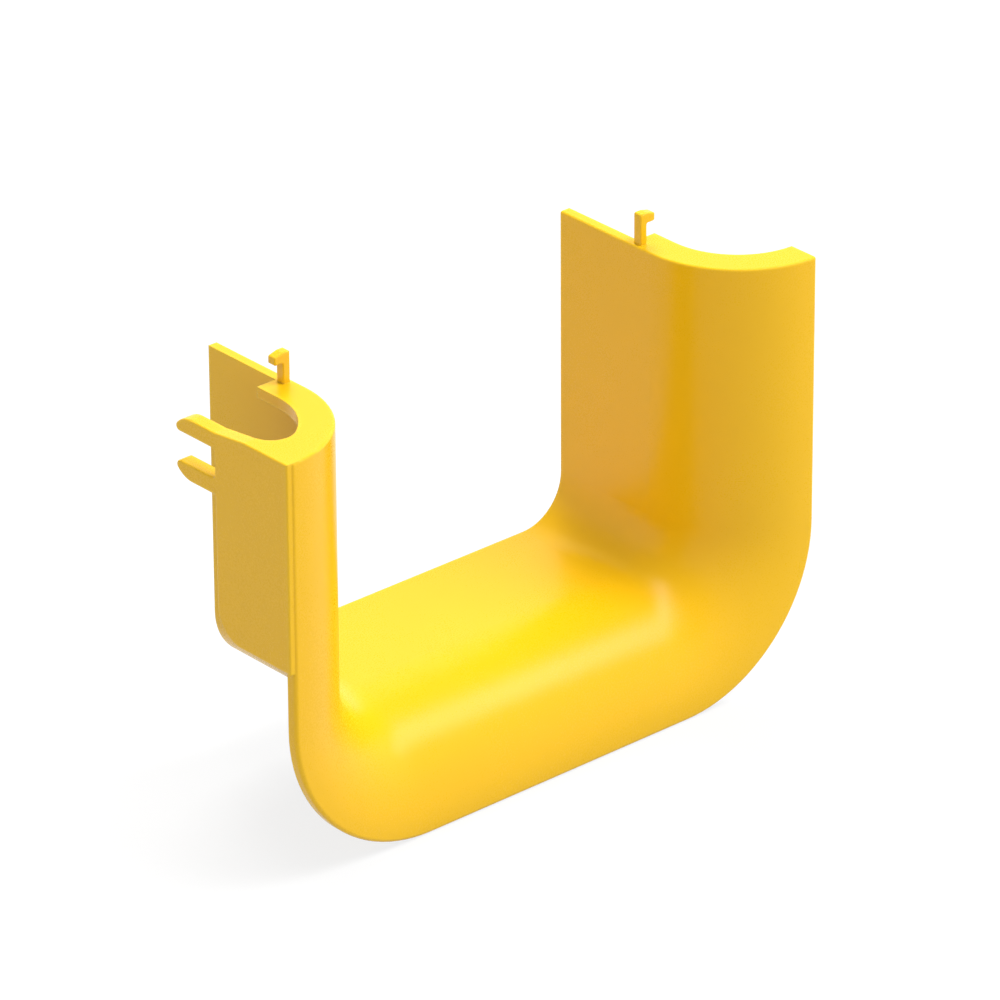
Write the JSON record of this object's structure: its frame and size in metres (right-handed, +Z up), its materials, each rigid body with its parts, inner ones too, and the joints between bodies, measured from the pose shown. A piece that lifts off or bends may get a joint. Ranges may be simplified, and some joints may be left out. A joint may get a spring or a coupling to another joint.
{
  "type": "fibre raceway side outlet",
  "caption": "Open-topped moulded raceway outlet whose mouth rolls outward over both walls and the floor, with cover hooks and a clip flange, to lead fibres out over a wide bend.",
  "frame": {"origin": "centre of the floor's upper surface at the stub's open end", "axes": "+Y out of the stub along the channel, so the flared mouth faces -Y; +Z up from floor to wall tops; +X across the channel, with the clip flange at -X"},
  "size_m": [0.1753, 0.0638, 0.1263],
  "materials": {
    "yellow_plastic": "satin moulded"
  },
  "bodies": {
    "root": {"side_outlet": "yellow_plastic"}
  },
  "joints": []
}
